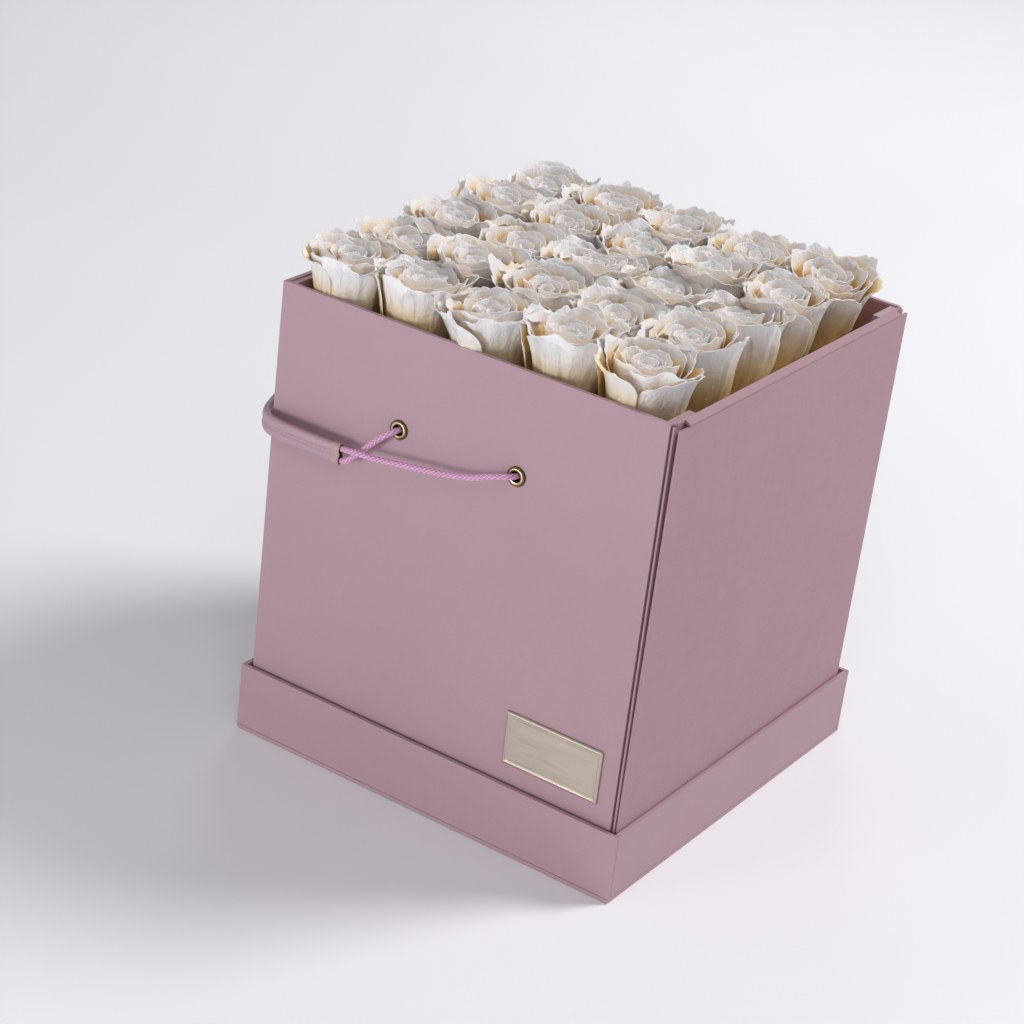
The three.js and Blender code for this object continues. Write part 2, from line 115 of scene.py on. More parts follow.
class Paint:
    """A material with one Principled shader, and short calls that add nodes before it."""

    def __init__(self, name, roughness=0.5, metallic=0.0, **sockets):
        self.material = bpy.data.materials.new(name)
        self.material.use_nodes = True
        self.tree = self.material.node_tree
        self.shader = self.tree.nodes["Principled BSDF"]
        self.shader.inputs["Roughness"].default_value = roughness
        self.shader.inputs["Metallic"].default_value = metallic
        for socket, value in sockets.items():
            self.shader.inputs[socket.replace("_", " ")].default_value = value
        self.coordinates = self.node("ShaderNodeTexCoord").outputs["Object"]
        self.heights = []

    def node(self, kind, **settings):
        made = self.tree.nodes.new(kind)
        for setting, value in settings.items():
            setattr(made, setting, value)
        return made

    def link(self, source, target):
        self.tree.links.new(source, target)

    def scaled(self, scale):
        """Object coordinates, stretched by three factors."""
        mapping = self.node("ShaderNodeMapping")
        mapping.inputs["Scale"].default_value = scale
        self.link(self.coordinates, mapping.inputs["Vector"])
        return mapping.outputs["Vector"]

    def noise(self, scale, detail=2.0, rough=0.5):
        """A noise with cells 1 / scale across, in metres. Three numbers stretch it."""
        made = self.node("ShaderNodeTexNoise")
        made.inputs["Scale"].default_value = 1.0
        made.inputs["Detail"].default_value = detail
        made.inputs["Roughness"].default_value = rough
        scale = scale if hasattr(scale, "__len__") else (scale,) * 3
        self.link(self.scaled(scale), made.inputs["Vector"])
        return made.outputs["Fac"]

    def cells(self, scale):
        made = self.node("ShaderNodeTexVoronoi")
        made.inputs["Scale"].default_value = 1.0
        self.link(self.scaled((scale,) * 3), made.inputs["Vector"])
        return made.outputs["Distance"]

    def attribute(self, name):
        return self.node("ShaderNodeAttribute", attribute_name=name).outputs["Fac"]

    def ramp(self, factor, stops):
        """Colours, or grey levels, at places from 0 to 1."""
        made = self.node("ShaderNodeValToRGB")
        elements = made.color_ramp.elements
        while len(elements) < len(stops):
            elements.new(0.5)
        for element, (place, value) in zip(elements, stops):
            element.position = place
            colour = value if hasattr(value, "__len__") else (value,) * 3
            element.color = (*colour, 1)
        self.link(factor, made.inputs["Fac"])
        return made.outputs["Color"]

    def mix(self, factor, a, b, blend="MIX"):
        made = self.node("ShaderNodeMix", data_type="RGBA", blend_type=blend)
        for socket, value in ((made.inputs[0], factor), (made.inputs[6], a), (made.inputs[7], b)):
            if isinstance(value, (int, float)):
                socket.default_value = value
            elif isinstance(value, tuple):
                socket.default_value = (*value, 1)
            else:
                self.link(value, socket)
        return made.outputs[2]

    def colour(self, value):
        if isinstance(value, tuple):
            self.shader.inputs["Base Color"].default_value = (*value, 1)
        else:
            self.link(value, self.shader.inputs["Base Color"])

    def roughness(self, value):
        self.link(value, self.shader.inputs["Roughness"])

    def bump(self, height, distance, strength=1.0):
        """Adds a bump of that depth in metres. Later ones lie over earlier ones."""
        made = self.node("ShaderNodeBump")
        made.inputs["Strength"].default_value = strength
        made.inputs["Distance"].default_value = distance
        self.link(height, made.inputs["Height"])
        if self.heights:
            self.link(self.heights[-1].outputs["Normal"], made.inputs["Normal"])
        self.heights.append(made)
        self.link(made.outputs["Normal"], self.shader.inputs["Normal"])


def shades(colour, spread):
    """A darker and a lighter version of a colour."""
    return tuple(c * (1 - spread) for c in colour), tuple(min(1, c * (1 + spread)) for c in colour)


def leather_cloth(name, colour, grain=1.0):
    """Book cloth with a fine pebbled leather grain, rubbed a little paler in soft patches."""
    paint = Paint(name, roughness=0.46, Specular_IOR_Level=0.42)
    dark, light = shades(colour, 0.018)
    patches = paint.ramp(paint.noise(9, 2), [(0.3, dark), (0.7, light)])
    pores = paint.ramp(paint.noise(1100, 3, 0.6), [(0.35, 0.96), (0.6, 1.0)])
    paint.colour(paint.mix(1.0, patches, pores, "MULTIPLY"))
    paint.roughness(paint.ramp(paint.noise(40, 3), [(0.3, 0.43), (0.7, 0.5)]))
    paint.bump(paint.cells(1700), 0.035 * MM * grain, 0.4)
    paint.bump(paint.noise(900, 3, 0.6), 0.045 * MM * grain, 0.45)
    return paint.material


def lined_cloth(name, colour):
    """Book cloth with a fine upright linen grain."""
    paint = Paint(name, roughness=0.52, Specular_IOR_Level=0.4)
    dark, light = shades(colour, 0.02)
    patches = paint.ramp(paint.noise(9, 2), [(0.3, dark), (0.7, light)])
    upright = paint.noise((900, 900, 70), 3, 0.6)
    across = paint.noise((90, 90, 1100), 2, 0.5)
    threads = paint.ramp(upright, [(0.3, 0.93), (0.65, 1.0)])
    paint.colour(paint.mix(1.0, patches, threads, "MULTIPLY"))
    paint.roughness(paint.ramp(across, [(0.3, 0.46), (0.7, 0.58)]))
    paint.bump(upright, 0.06 * MM, 0.5)
    paint.bump(across, 0.03 * MM, 0.35)
    return paint.material


def brushed_gold(name):
    """Pale gold with fine streaks across it."""
    paint = Paint(name, metallic=1.0)
    streaks = paint.noise((60, 900, 1400), 3, 0.6)
    paint.colour(paint.ramp(streaks, [(0.25, linear(192, 180, 166)), (0.75, linear(206, 194, 179))]))
    paint.roughness(paint.ramp(streaks, [(0.3, 0.4), (0.7, 0.5)]))
    paint.bump(streaks, 0.01 * MM, 0.25)
    return paint.material


def antique_brass(name):
    """Brass, bright where it is rubbed and brown towards its edge."""
    paint = Paint(name, metallic=1.0)
    worn = paint.attribute("worn")
    patina = paint.ramp(
        worn,
        [(0.0, linear(70, 54, 36)), (0.5, linear(138, 116, 80)), (1.0, linear(226, 210, 168))],
    )
    spots = paint.ramp(paint.noise(900, 3), [(0.35, 0.78), (0.6, 1.0)])
    paint.colour(paint.mix(1.0, patina, spots, "MULTIPLY"))
    paint.roughness(paint.ramp(worn, [(0.0, 0.5), (1.0, 0.24)]))
    paint.bump(paint.noise(1200, 2), 0.02 * MM, 0.3)
    return paint.material


def braided_cord(name):
    """Lilac-pink braid, pale at each strand's crown as a painted highlight, darker at its sides as
    painted shade, and darkest in the gaps between strands as painted shade.
    """
    paint = Paint(name, roughness=0.62, Sheen_Weight=0.35, Sheen_Roughness=0.5)
    # Painted highlight and shade: pale at each strand's crown, darker towards its sides.
    strands = paint.ramp(
        paint.attribute("crown_highlight"),
        [(0.0, linear(198, 106, 170)), (0.5, linear(216, 146, 194)), (1.0, linear(252, 224, 240))],
    )
    # Painted shade, darkest in the gaps between the strands.
    painted_gap_shade = paint.ramp(paint.attribute("gap_shade"), [(0.0, 1.0), (1.0, 0.5)])
    paint.colour(paint.mix(1.0, strands, painted_gap_shade, "MULTIPLY"))
    paint.bump(paint.noise(6000, 2), 0.03 * MM, 0.5)
    return paint.material


def petal_skin(name, depth):
    """Ivory petals: white at the thin lips, with painted warm amber shade in the depths, and fine
    veins.
    """
    paint = Paint(
        name, roughness=0.42, Sheen_Weight=0.1, Specular_IOR_Level=0.5, Subsurface_Weight=0.35
    )
    paint.shader.inputs["Subsurface Radius"].default_value = (1.0, 0.75, 0.5)
    paint.shader.inputs["Subsurface Scale"].default_value = 2.5 * MM
    # Painted shade: warmer and darker amber the deeper a point lies below its petal's lip.
    body = paint.ramp(
        paint.attribute(depth),
        [
            (0.0, linear(254, 251, 253)),
            (0.12, linear(255, 250, 249)),
            (0.38, linear(255, 244, 231)),
            (0.68, linear(252, 222, 177)),
            (1.0, linear(238, 188, 120)),
        ],
    )
    mottled = paint.ramp(paint.noise(160, 4, 0.6), [(0.3, 0.97), (0.7, 1.0)])
    paint.colour(paint.mix(1.0, body, mottled, "MULTIPLY"))
    paint.bump(paint.noise((230, 230, 150), 4, 0.65), 2.0 * MM, 0.5)
    paint.bump(paint.noise((700, 700, 110), 3, 0.6), 1.0 * MM, 0.6)
    return paint.material


def grey_board(name):
    """Bare recycled board, as on the hidden pieces."""
    paint = Paint(name, roughness=0.9)
    fibres = paint.noise(700, 4, 0.7)
    paint.colour(paint.ramp(fibres, [(0.3, linear(138, 132, 123)), (0.7, linear(168, 162, 152))]))
    paint.bump(fibres, 0.08 * MM, 0.6)
    return paint.material


def flower_foam(name):
    """Off-white foam with open pores."""
    paint = Paint(name, roughness=0.95)
    pores = paint.cells(900)
    paint.colour(paint.ramp(pores, [(0.1, linear(236, 232, 222)), (0.6, linear(202, 196, 184))]))
    paint.bump(pores, 0.3 * MM, 0.7)
    return paint.material


def thread(name, colour):
    """Twisted sewing thread."""
    paint = Paint(name, roughness=0.7, Sheen_Weight=0.3)
    twist = paint.noise(3000, 2)
    dark, light = shades(colour, 0.12)
    paint.colour(paint.ramp(twist, [(0.35, dark), (0.65, light)]))
    paint.bump(twist, 0.05 * MM, 0.5)
    return paint.material


def stem_skin(name):
    """Dry straw green with upright streaks."""
    paint = Paint(name, roughness=0.6)
    streaks = paint.noise((500, 500, 60), 3)
    paint.colour(paint.ramp(streaks, [(0.3, linear(150, 136, 88)), (0.7, linear(188, 170, 118))]))
    paint.bump(streaks, 0.1 * MM, 0.5)
    return paint.material


def shadow_inside(name):
    """Painted shadow: the dark mouths of the sleeve's channels."""
    paint = Paint(name, roughness=0.9)
    paint.colour(paint.ramp(paint.noise(500), [(0.3, linear(66, 38, 44)), (0.7, linear(84, 50, 56))]))
    return paint.material


FRONT_PINK = linear(178, 145, 155)
SIDE_PINK = linear(173, 137, 146)
HANDLE_PINK = linear(178, 146, 158)
BINDING_PINK = linear(188, 150, 148)
LINING_PINK = linear(150, 112, 112)
THREAD_PINK = linear(206, 160, 158)
MATERIALS = {
    "leather_cloth": leather_cloth("leather_cloth", FRONT_PINK),
    "lined_cloth": lined_cloth("lined_cloth", SIDE_PINK),
    "handle_cloth": leather_cloth("handle_cloth", HANDLE_PINK, grain=0.8),
    "binding_cloth": leather_cloth("binding_cloth", BINDING_PINK, grain=1.4),
    "lining": leather_cloth("lining_cloth", LINING_PINK, grain=0.6),
    "gold_metal": brushed_gold("gold_metal"),
    "antique_brass": antique_brass("antique_brass"),
    "braided_cord": braided_cord("braided_cord"),
    "petals": petal_skin("petals", "outside_painted_shade"),
    "petals_inside": petal_skin("petals_inside", "inside_painted_shade"),
    "stem": stem_skin("stem"),
    "grey_board": grey_board("grey_board"),
    "foam": flower_foam("foam"),
    "stitches": thread("stitches", THREAD_PINK),
    "channel_shadow": shadow_inside("channel_shadow"),
}


# ---- Mesh helpers ----------------------------------------------------------------------------


def new_piece(name, points, faces, material, body, smooth=True):
    """A mesh that rides on a body, with points in metres in the row frame."""
    mesh = bpy.data.meshes.new(name)
    mesh.from_pydata([tuple(map(float, p)) for p in points], [], [tuple(map(int, f)) for f in faces])
    mesh.materials.append(MATERIALS[material])
    if smooth:
        mesh.polygons.foreach_set("use_smooth", [True] * len(mesh.polygons))
    mesh.update()
    piece = bpy.data.objects.new(name, mesh)
    bpy.context.scene.collection.objects.link(piece)
    if body:
        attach(piece, body)
    return piece


def set_attribute(piece, name, values):
    """One number for each point of the mesh, which the piece's material reads."""
    attribute = piece.data.attributes.new(name, "FLOAT", "POINT")
    attribute.data.foreach_set("value", np.asarray(values, np.float32))


def grid_faces(rows, columns, start=0, closed=False, looped=False):
    """Quads over a grid of points that is stored row by row.

    closed joins the last column to the first, and looped the last row to the first.
    """
    faces = []
    for row in range(rows if looped else rows - 1):
        low = start + row * columns
        high = start + (row + 1) % rows * columns
        for column in range(columns if closed else columns - 1):
            after = (column + 1) % columns
            faces.append((low + column, low + after, high + after, high + column))
    return faces


def ring_around(line, side, third, radius, turns):
    """Round sections along a line: radius is one number, or one for each point and turn."""
    radius = np.broadcast_to(radius, (len(line), len(turns)))
    return (
        line[:, None, :]
        + (radius * np.cos(turns))[:, :, None] * side[:, None, :]
        + (radius * np.sin(turns))[:, :, None] * third[:, None, :]
    )


def full_turn(steps):
    """That many even angles round a circle."""
    return 2 * math.pi * np.arange(steps) / steps


def length_along(line):
    """How far along the line each of its points lies."""
    return np.concatenate([[0], np.cumsum(np.linalg.norm(np.diff(line, axis=0), axis=1))])


SHARP_EDGE = math.radians(50)
SQUARE = ((-1, -1), (1, -1), (1, 1), (-1, 1))  # the corners, in order


def round_edges(piece, width, segments=2):
    """Softens the edges that turn by more than SHARP_EDGE."""
    bevel = piece.modifiers.new("edges", "BEVEL")
    bevel.width = width
    bevel.segments = segments
    bevel.limit_method = "ANGLE"
    bevel.angle_limit = SHARP_EDGE


STEPS_BETWEEN_POINTS = 24


def smooth_line(points, step):
    """Points at even steps along a centripetal Catmull-Rom curve, as the CAD draws it."""
    points = [np.array(p, float) for p in points]
    points = [2 * points[0] - points[1], *points, 2 * points[-1] - points[-2]]
    dense = []
    for a, b, c, d in zip(points, points[1:], points[2:], points[3:]):
        knots = [0.0]
        for p, q in ((a, b), (b, c), (c, d)):
            knots.append(knots[-1] + max(np.linalg.norm(q - p), 1e-9) ** 0.5)
        t0, t1, t2, t3 = knots
        for t in np.linspace(t1, t2, STEPS_BETWEEN_POINTS, endpoint=False):
            ab = (t1 - t) / (t1 - t0) * a + (t - t0) / (t1 - t0) * b
            bc = (t2 - t) / (t2 - t1) * b + (t - t1) / (t2 - t1) * c
            cd = (t3 - t) / (t3 - t2) * c + (t - t2) / (t3 - t2) * d
            abc = (t2 - t) / (t2 - t0) * ab + (t - t0) / (t2 - t0) * bc
            bcd = (t3 - t) / (t3 - t1) * bc + (t - t1) / (t3 - t1) * cd
            dense.append((t2 - t) / (t2 - t1) * abc + (t - t1) / (t2 - t1) * bcd)
    dense = np.array([*dense, points[-2]])
    along = length_along(dense)
    count = max(2, round(along[-1] / step) + 1)
    places = np.linspace(0, along[-1], count)
    return np.stack([np.interp(places, along, dense[:, axis]) for axis in range(3)], axis=1)


def frames_along(line, up):
    """At each point of a line: a direction square to it and to up, and the third one."""
    forward = np.gradient(line, axis=0)
    forward /= np.linalg.norm(forward, axis=1)[:, None]
    side = np.cross(forward, np.array(up, float))
    side /= np.linalg.norm(side, axis=1)[:, None]
    return side, np.cross(side, forward)


# ---- Cords -----------------------------------------------------------------------------------

CORD_R = 1.7 * MM
BRAID_STRANDS = 10  # each way round
BRAID_PITCH = 15 * MM  # of one turn
BRAID_RELIEF = 0.2 * MM
CORD_STEP = 0.35 * MM  # between sections
CORD_SIDES = 32
CORD_UP = (0, 0.13, 1)  # never along a cord
# Routes at the front wall, from the sleeve's end to the knot behind the eyelet, in millimetres
# from the middle of the box, the wall's outer face and the eyelets' height, as in part.mjs.
LEFT_CORD_ROUTE = [
    (-69, -9, -26.3), (-67.2, -8.9, -26), (-65.1, -8.4, -24.8), (-62.4, -7.7, -22.3),
    (-59.4, -7, -19.3), (-56.2, -6.6, -15.9), (-52.5, -6.4, -12), (-49, -6.3, -8.5),
    (-45.6, -6, -5.3), (-42.7, -4.9, -2.8), (-40.4, -3, -1.1), (-39.2, -0.9, -0.3),
    (-38.8, 1.2, 0), (-38.5, 3.3, 0.2),
]
RIGHT_CORD_ROUTE = [
    (-69, -9, -19.1), (-66.6, -9.2, -18.9), (-61.6, -10.5, -17.8), (-55.5, -11.7, -16.7),
    (-48, -12, -15.9), (-41.5, -11.8, -15.3), (-26, -11, -13.2), (-10.2, -10, -11.2),
    (4.8, -9, -8.9), (16.5, -8.1, -6.1), (24.5, -7.3, -3.1), (30.4, -6.5, -1.1),
    (34.2, -5.2, -0.2), (36.9, -3.1, 0), (38.3, -0.9, 0), (38.8, 1.2, 0), (39.2, 3.3, 0),
]
FRONT_LOW, FRONT_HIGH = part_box("wall_front")
BACK_LOW, BACK_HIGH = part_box("wall_back")
EYELET_LOW, EYELET_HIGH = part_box("eyelet_front_left")
BOX_MIDDLE_X = (FRONT_LOW.x + FRONT_HIGH.x) / 2
EYELET_Z = (EYELET_LOW.z + EYELET_HIGH.z) / 2


def cord_path(route, back):
    """A route in the row frame, from the eyelet to the sleeve. The back cords are mirrored."""
    points = []
    for x, y, z in reversed(route):
        wall = BACK_HIGH.y - y * MM if back else FRONT_LOW.y + y * MM
        points.append((BOX_MIDDLE_X + x * MM, wall, EYELET_Z + z * MM))
    return points


def braid(turns, along):
    """How near each point of a cord's skin is to the crown of a strand, from 0 to 1."""
    travel = 2 * math.pi * along[:, None] / BRAID_PITCH
    one_way = BRAID_STRANDS * (turns[None, :] + travel)
    other_way = BRAID_STRANDS * (turns[None, :] - travel)
    over = np.sin((one_way + other_way) / 4) * np.sin((one_way - other_way) / 4) > 0
    return np.where(over, np.abs(np.cos(one_way / 2)), np.abs(np.cos(other_way / 2)))


def add_cord(name, route, back):
    """A braided cord from its eyelet to the sleeve, bending between the box and the handle."""
    path = cord_path(route, back)
    line = smooth_line(path, CORD_STEP)
    side, third = frames_along(line, CORD_UP)
    along = length_along(line)
    turns = full_turn(CORD_SIDES)
    strand = braid(turns, along)
    points = ring_around(line, side, third, CORD_R - BRAID_RELIEF * (1 - strand), turns)
    first_of_last = (len(line) - 1) * CORD_SIDES
    faces = grid_faces(len(line), CORD_SIDES, closed=True)
    faces.append(tuple(range(CORD_SIDES)))
    faces.append(tuple(reversed(range(first_of_last, first_of_last + CORD_SIDES))))
    points = points.reshape(-1, 3)
    piece = new_piece(name + "_braid", points, faces, "braided_cord", None)
    # Paints the strands' crowns pale as a painted highlight, and the gaps between them dark as
    # painted shade.
    set_attribute(piece, "crown_highlight", strand.ravel() ** 2)
    set_attribute(piece, "gap_shade", (1 - strand).ravel() ** 2)
    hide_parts(name)
    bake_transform(piece)


def add_cords():
    """A short cord on the left and a long one on the right, at the front and at the back."""
    for wall in ("front", "back"):
        for side, route in (("left", LEFT_CORD_ROUTE), ("right", RIGHT_CORD_ROUTE)):
            add_cord(f"cord_{wall}_{side}", route, wall == "back")


KNOT_STEPS = 96
KNOT_SIDES = 12
KNOT_REACH = 0.27  # of the trefoil's loops, against the knot's half size
KNOT_THICK = 0.36  # the cord in it, likewise


def add_knot(name):
    """An overhand knot: a trefoil of cord, pulled tight behind the eyelet."""
    low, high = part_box(name)
    size = (high.z - low.z) / 2
    reach = KNOT_REACH * size
    t = full_turn(KNOT_STEPS)
    trefoil = np.stack(
        [
            reach * (np.sin(t) + 2 * np.sin(2 * t)) * 0.8,
            reach * 0.9 * np.sin(3 * t),
            reach * (np.cos(t) - 2 * np.cos(2 * t)) * 0.8,
        ],
        axis=1,
    )
    line = trefoil + np.array((low + high) / 2)
    forward = np.roll(line, -1, axis=0) - np.roll(line, 1, axis=0)
    forward /= np.linalg.norm(forward, axis=1)[:, None]
    side = np.cross(forward, np.array((0.0, 1.0, 0.0)))
    side /= np.linalg.norm(side, axis=1)[:, None]
    third = np.cross(side, forward)
    turns = full_turn(KNOT_SIDES)
    points = ring_around(line, side, third, KNOT_THICK * size, turns).reshape(-1, 3)
    faces = grid_faces(KNOT_STEPS, KNOT_SIDES, closed=True, looped=True)
    piece = new_piece(name + "_tied", points, faces, "braided_cord", "box")
    # Pale and darker bands for the braid's painted highlight and shade, with a faint even painted
    # shade over the whole knot.
    weave = np.sin(4 * turns[None, :] + 9 * t[:, None]) > 0
    set_attribute(piece, "crown_highlight", np.where(weave, 0.25, 0.95).ravel())
    set_attribute(piece, "gap_shade", np.full(KNOT_STEPS * KNOT_SIDES, 0.1))
    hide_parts(name)


# ---- Handle sleeve ---------------------------------------------------------------------------

# Half of the sleeve's middle line, seen from above, in millimetres from the front left corner,
# as in part.mjs.
SLEEVE_FROM_CORNER = [
    (55.5, -9), (42, -9.6), (28, -9.9), (14, -9.3), (5.5, -7.7), (-0.6, -4.4), (-4.9, 0.6), (-8, 7),
    (-11, 14.5), (-14.8, 25), (-19.6, 41), (-24.2, 60), (-27.8, 88),
]
SLEEVE_MIDDLE = -29.2
SLEEVE_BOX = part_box("sleeve_front")
SLEEVE_Z = (SLEEVE_BOX[0].z + SLEEVE_BOX[1].z) / 2
SLEEVE_HALF = (SLEEVE_BOX[1].z - SLEEVE_BOX[0].z) / 2
SLEEVE_THICK = 5 * MM
SLEEVE_STEP = 1.4 * MM
SECTION_STEPS = 40
CHANNEL_PINCH = 0.5  # how far the seam draws the two faces in
STITCH_PITCH = 3.0 * MM
STITCH_LENGTH = 2.1 * MM
STITCH_MARGIN = 7 * MM  # from the sleeve's ends
STITCH_R = 0.3 * MM
BINDING_STITCHES = 9


def sleeve_line(step):
    """The sleeve's middle line, from its front end round the left side to its back end."""
    front = [(FRONT_LOW.x + x * MM, FRONT_LOW.y + y * MM, SLEEVE_Z) for x, y in SLEEVE_FROM_CORNER]
    middle_y = (FRONT_LOW.y + BACK_HIGH.y) / 2
    middle = (FRONT_LOW.x + SLEEVE_MIDDLE * MM, middle_y, SLEEVE_Z)
    back = [(x, 2 * middle_y - y, z) for x, y, z in reversed(front)]
    return smooth_line([*front, middle, *back], step)


def sleeve_profile():
    """The section's points as (height, bulge), with a groove where the stitches run."""
    shape = []
    for angle in full_turn(SECTION_STEPS):
        height = math.cos(angle)
        bulge = abs(math.sin(angle)) ** 0.62 * math.copysign(1, math.sin(angle))
        channel = 1 - CHANNEL_PINCH * math.exp(-((height / 0.2) ** 2))
        shape.append((height * SLEEVE_HALF, bulge * channel * SLEEVE_THICK / 2))
    return shape


def add_sleeve():
    """The handle's cloth sleeve in one piece, with its mouths, stitches and end bindings."""
    line = sleeve_line(SLEEVE_STEP)
    side, up = frames_along(line, (0, 0, 1))
    profile = sleeve_profile()
    count = len(line)
    along = length_along(line)
    points = []
    for i in range(count):
        crease = 0.16 * MM * noise.noise(Vector((along[i] * 120, 0, 0)))
        for height, bulge in profile:
            face = math.copysign(1, bulge)
            ripple = 1 + 0.05 * noise.noise(Vector((along[i] * 260, height * 600, 3 * face)))
            points.append(line[i] + side[i] * bulge * ripple + up[i] * (height + crease))
    faces = grid_faces(count, len(profile), closed=True)
    sleeve = new_piece("sleeve", points, faces, "handle_cloth", "handle")
    # Dark end faces as painted shadow inside the two channel mouths at each end.
    close_sleeve_end("sleeve_mouth_shadow_front", line[0], side[0], up[0], line[0] - line[1])
    close_sleeve_end("sleeve_mouth_shadow_back", line[-1], side[-1], up[-1], line[-1] - line[-2])
    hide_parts("sleeve_front", "sleeve_grip", "sleeve_back")
    add_stitches(line, side, along)
    for name, at, outwards in (("front", 0, line[0] - line[1]), ("back", -1, line[-1] - line[-2])):
        add_end_binding(f"sleeve_binding_{name}", line[at], side[at], up[at], outwards)


def close_sleeve_end(name, middle, side, up, outwards):
    """A dark end face, set a little inside the sleeve, as painted shadow in the two channel mouths.
    """
    outwards = outwards / np.linalg.norm(outwards)
    points = []
    profile = sleeve_profile()
    stations = ((0.02, 0.985), (-0.9, 0.93), (-1.6, 0.7))  # millimetres outwards, and its size
    for depth, shrink in stations:
        centre = middle + outwards * depth * MM
        for height, bulge in profile:
            points.append(centre + up * height * shrink + side * bulge * shrink * 0.96)
    faces = grid_faces(len(stations), len(profile), closed=True)
    faces.append(tuple(range(2 * len(profile), 3 * len(profile))))
    new_piece(name, points, faces, "channel_shadow", "handle")


def add_end_binding(name, middle, side, up, outwards):
    """A folded band of the sleeve's own cloth at its mouth, held by a row of overcast stitches."""
    outwards = outwards / np.linalg.norm(outwards)
    profile = sleeve_profile()
    points = []
    stations = ((-5.2, 1.0), (-5.0, 1.09), (-2.8, 1.12), (-0.5, 1.1), (0.15, 1.0), (0.0, 0.93))
    for depth, grow in stations:  # millimetres outwards, and its size against the sleeve
        centre = middle + outwards * depth * MM
        taller = 1 + (grow - 1) * 0.5
        for height, bulge in profile:
            points.append(centre + up * height * taller + side * bulge * grow)
    faces = grid_faces(len(stations), len(profile), closed=True)
    new_piece(name, points, faces, "binding_cloth", "handle")
    rows = []
    for row in range(BINDING_STITCHES):
        height = (row / (BINDING_STITCHES - 1) * 2 - 1) * SLEEVE_HALF * 0.86
        start = middle - outwards * 3.6 * MM + up * height
        end = middle - outwards * 2.0 * MM + up * (height + 0.5 * MM)
        rows.append((start, end))
    add_thread_row(name + "_stitches", rows, side, 0.58)


def add_thread_row(name, pairs, side, lift):
    """Short fat stitches between pairs of points, on the side of the sleeve that side points to."""
    points = []
    faces = []
    for start, end in pairs:
        for face in (1, -1):
            add_one_stitch(points, faces, start, end, side * face, lift)
    new_piece(name, points, faces, "stitches", "handle")


def add_one_stitch(points, faces, start, end, out, lift):
    """A stitch that dips into the cloth at both ends. lift is its level against the sleeve's face."""
    around = 6
    forward = end - start
    length = np.linalg.norm(forward)
    forward = forward / length
    cross = np.cross(forward, out)
    cross /= np.linalg.norm(cross)
    first = len(points)
    stations = (  # share of its length, fatness, rise in millimetres
        (0.0, 0.10, -0.35), (0.12, 0.75, 0.0), (0.5, 1.0, 0.14), (0.88, 0.75, 0.0),
        (1.0, 0.10, -0.35),
    )
    for share, fat, rise in stations:
        centre = start + forward * length * share + out * (lift * SLEEVE_THICK / 2 + rise * MM)
        for turn in full_turn(around):
            points.append(centre + fat * STITCH_R * (math.cos(turn) * cross + math.sin(turn) * out))
    faces.extend(grid_faces(len(stations), around, first, closed=True))


def point_along(line, along, place):
    """The point that lies that far along the line."""
    return np.array([np.interp(place, along, line[:, axis]) for axis in range(3)])


def add_stitches(line, side, along):
    """The row of stitches that parts the sleeve's two channels, on both faces."""
    points = []
    faces = []
    place = STITCH_MARGIN
    while place < along[-1] - STITCH_MARGIN:
        start = point_along(line, along, place)
        end = point_along(line, along, place + STITCH_LENGTH)
        at = min(np.searchsorted(along, place), len(line) - 1)
        for face in (1, -1):
            add_one_stitch(points, faces, start, end, side[at] * face, 0.5)
        place += STITCH_PITCH
    new_piece("sleeve_stitches", points, faces, "stitches", "handle")


# ---- Eyelets and nameplate -------------------------------------------------------------------


EYELET_SIDES = 48
EYELET_BORE = 0.545  # of the flange's radius
EYELET_ROLL = 0.86  # where the dome rolls over, likewise
EYELET_ROLL_STEPS = 8
EYELET_ROLL_RISE = 0.085  # of its depth


def eyelet_profile():
    """The section: shares of the radius and of the depth, and how brightly it is rubbed."""
    profile = [
        (1.0, 0.20, 0.05), (0.995, 0.10, 0.1), (0.96, 0.045, 0.3), (0.90, 0.06, 0.35),
        (EYELET_ROLL, EYELET_ROLL_RISE, 0.15),
    ]
    middle = (EYELET_ROLL + EYELET_BORE) / 2
    half = (EYELET_ROLL - EYELET_BORE) / 2
    for i in range(EYELET_ROLL_STEPS + 1):
        angle = math.pi * i / EYELET_ROLL_STEPS
        rise = math.sin(angle)
        level = EYELET_ROLL_RISE - EYELET_ROLL_RISE * rise
        profile.append((middle + half * math.cos(angle), level, 0.4 + 0.6 * rise))
    profile += [(EYELET_BORE, 0.2, 0.3), (EYELET_BORE, 0.55, 0.1), (EYELET_BORE, 0.9, 0.1)]
    profile += [(0.60, 0.985, 0.2), (0.70, 1.0, 0.3), (0.82, 0.96, 0.2), (0.86, 0.88, 0.1)]
    profile += [(0.64, 0.86, 0.0), (0.64, 0.5, 0.0), (0.64, 0.27, 0.0), (0.99, 0.265, 0.0)]
    return profile


def add_eyelet(name):
    """A rolled eyelet: a domed flange outside, the barrel, and the rolled edge inside."""
    low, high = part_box(name)
    x = (low.x + high.x) / 2
    z = (low.z + high.z) / 2
    out = -1 if "front" in name else 1
    face = low.y if out < 0 else high.y
    depth = high.y - low.y
    radius = (high.x - low.x) / 2
    profile = eyelet_profile()
    points = []
    worn = []
    for share, level, bright in profile:
        for turn in full_turn(EYELET_SIDES):
            points.append((
                x + radius * share * math.cos(turn),
                face - out * depth * level,
                z + radius * share * math.sin(turn),
            ))
            worn.append(bright * (0.85 + 0.15 * math.sin(3 * turn + 1)))
    faces = grid_faces(len(profile), EYELET_SIDES, closed=True, looped=True)
    piece = new_piece(name + "_rolled", points, faces, "antique_brass", "box")
    set_attribute(piece, "worn", worn)
    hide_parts(name)


